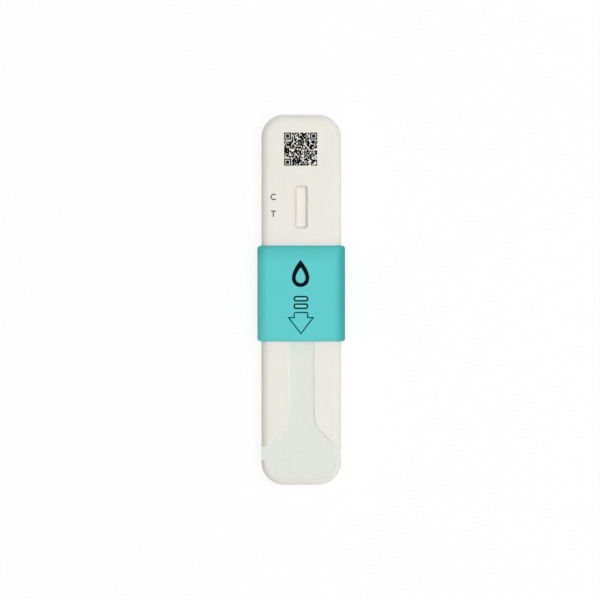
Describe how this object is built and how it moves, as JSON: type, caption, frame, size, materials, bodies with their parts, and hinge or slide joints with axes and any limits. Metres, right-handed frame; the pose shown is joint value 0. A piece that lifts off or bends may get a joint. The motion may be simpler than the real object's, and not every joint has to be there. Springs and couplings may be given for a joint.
{
  "type": "lateral flow cassette",
  "caption": "Slim rounded lateral flow cassette with a result window, a paddle-shaped collection pad at one end and a sleeve that slides along the case to cover the pad.",
  "frame": {"origin": "centre of the part's plan, on the surface that the sleeve's underside rests on", "axes": "+Z out of the front of the case, +Y along the case towards the end beyond the result window, +X across it to the right as the front is read"},
  "size_m": [0.0274, 0.115, 0.0106],
  "materials": {
    "ivory_plastic": "satin moulded",
    "teal_plastic": "satin moulded",
    "pad_fibre": "felted fibre",
    "white_card": "calendered sheet",
    "membrane_sheet": "fine porous sheet",
    "glass_fibre": "glass fibre mat",
    "cellulose": "absorbent paper"
  },
  "bodies": {
    "case": {"lower_shell": "ivory_plastic", "upper_shell": "ivory_plastic", "collection_pad": "pad_fibre", "backing_card": "white_card", "membrane": "membrane_sheet", "conjugate_pad": "glass_fibre", "sample_pad": "cellulose", "absorbent_pad": "cellulose"},
    "sleeve": {"slide_sleeve": "teal_plastic"}
  },
  "joints": [
    {"name": "sleeve_slide", "type": "slide", "parent": "case", "child": "sleeve", "axis": [0, -1, 0], "range_m": [0, 0.0437]}
  ]
}
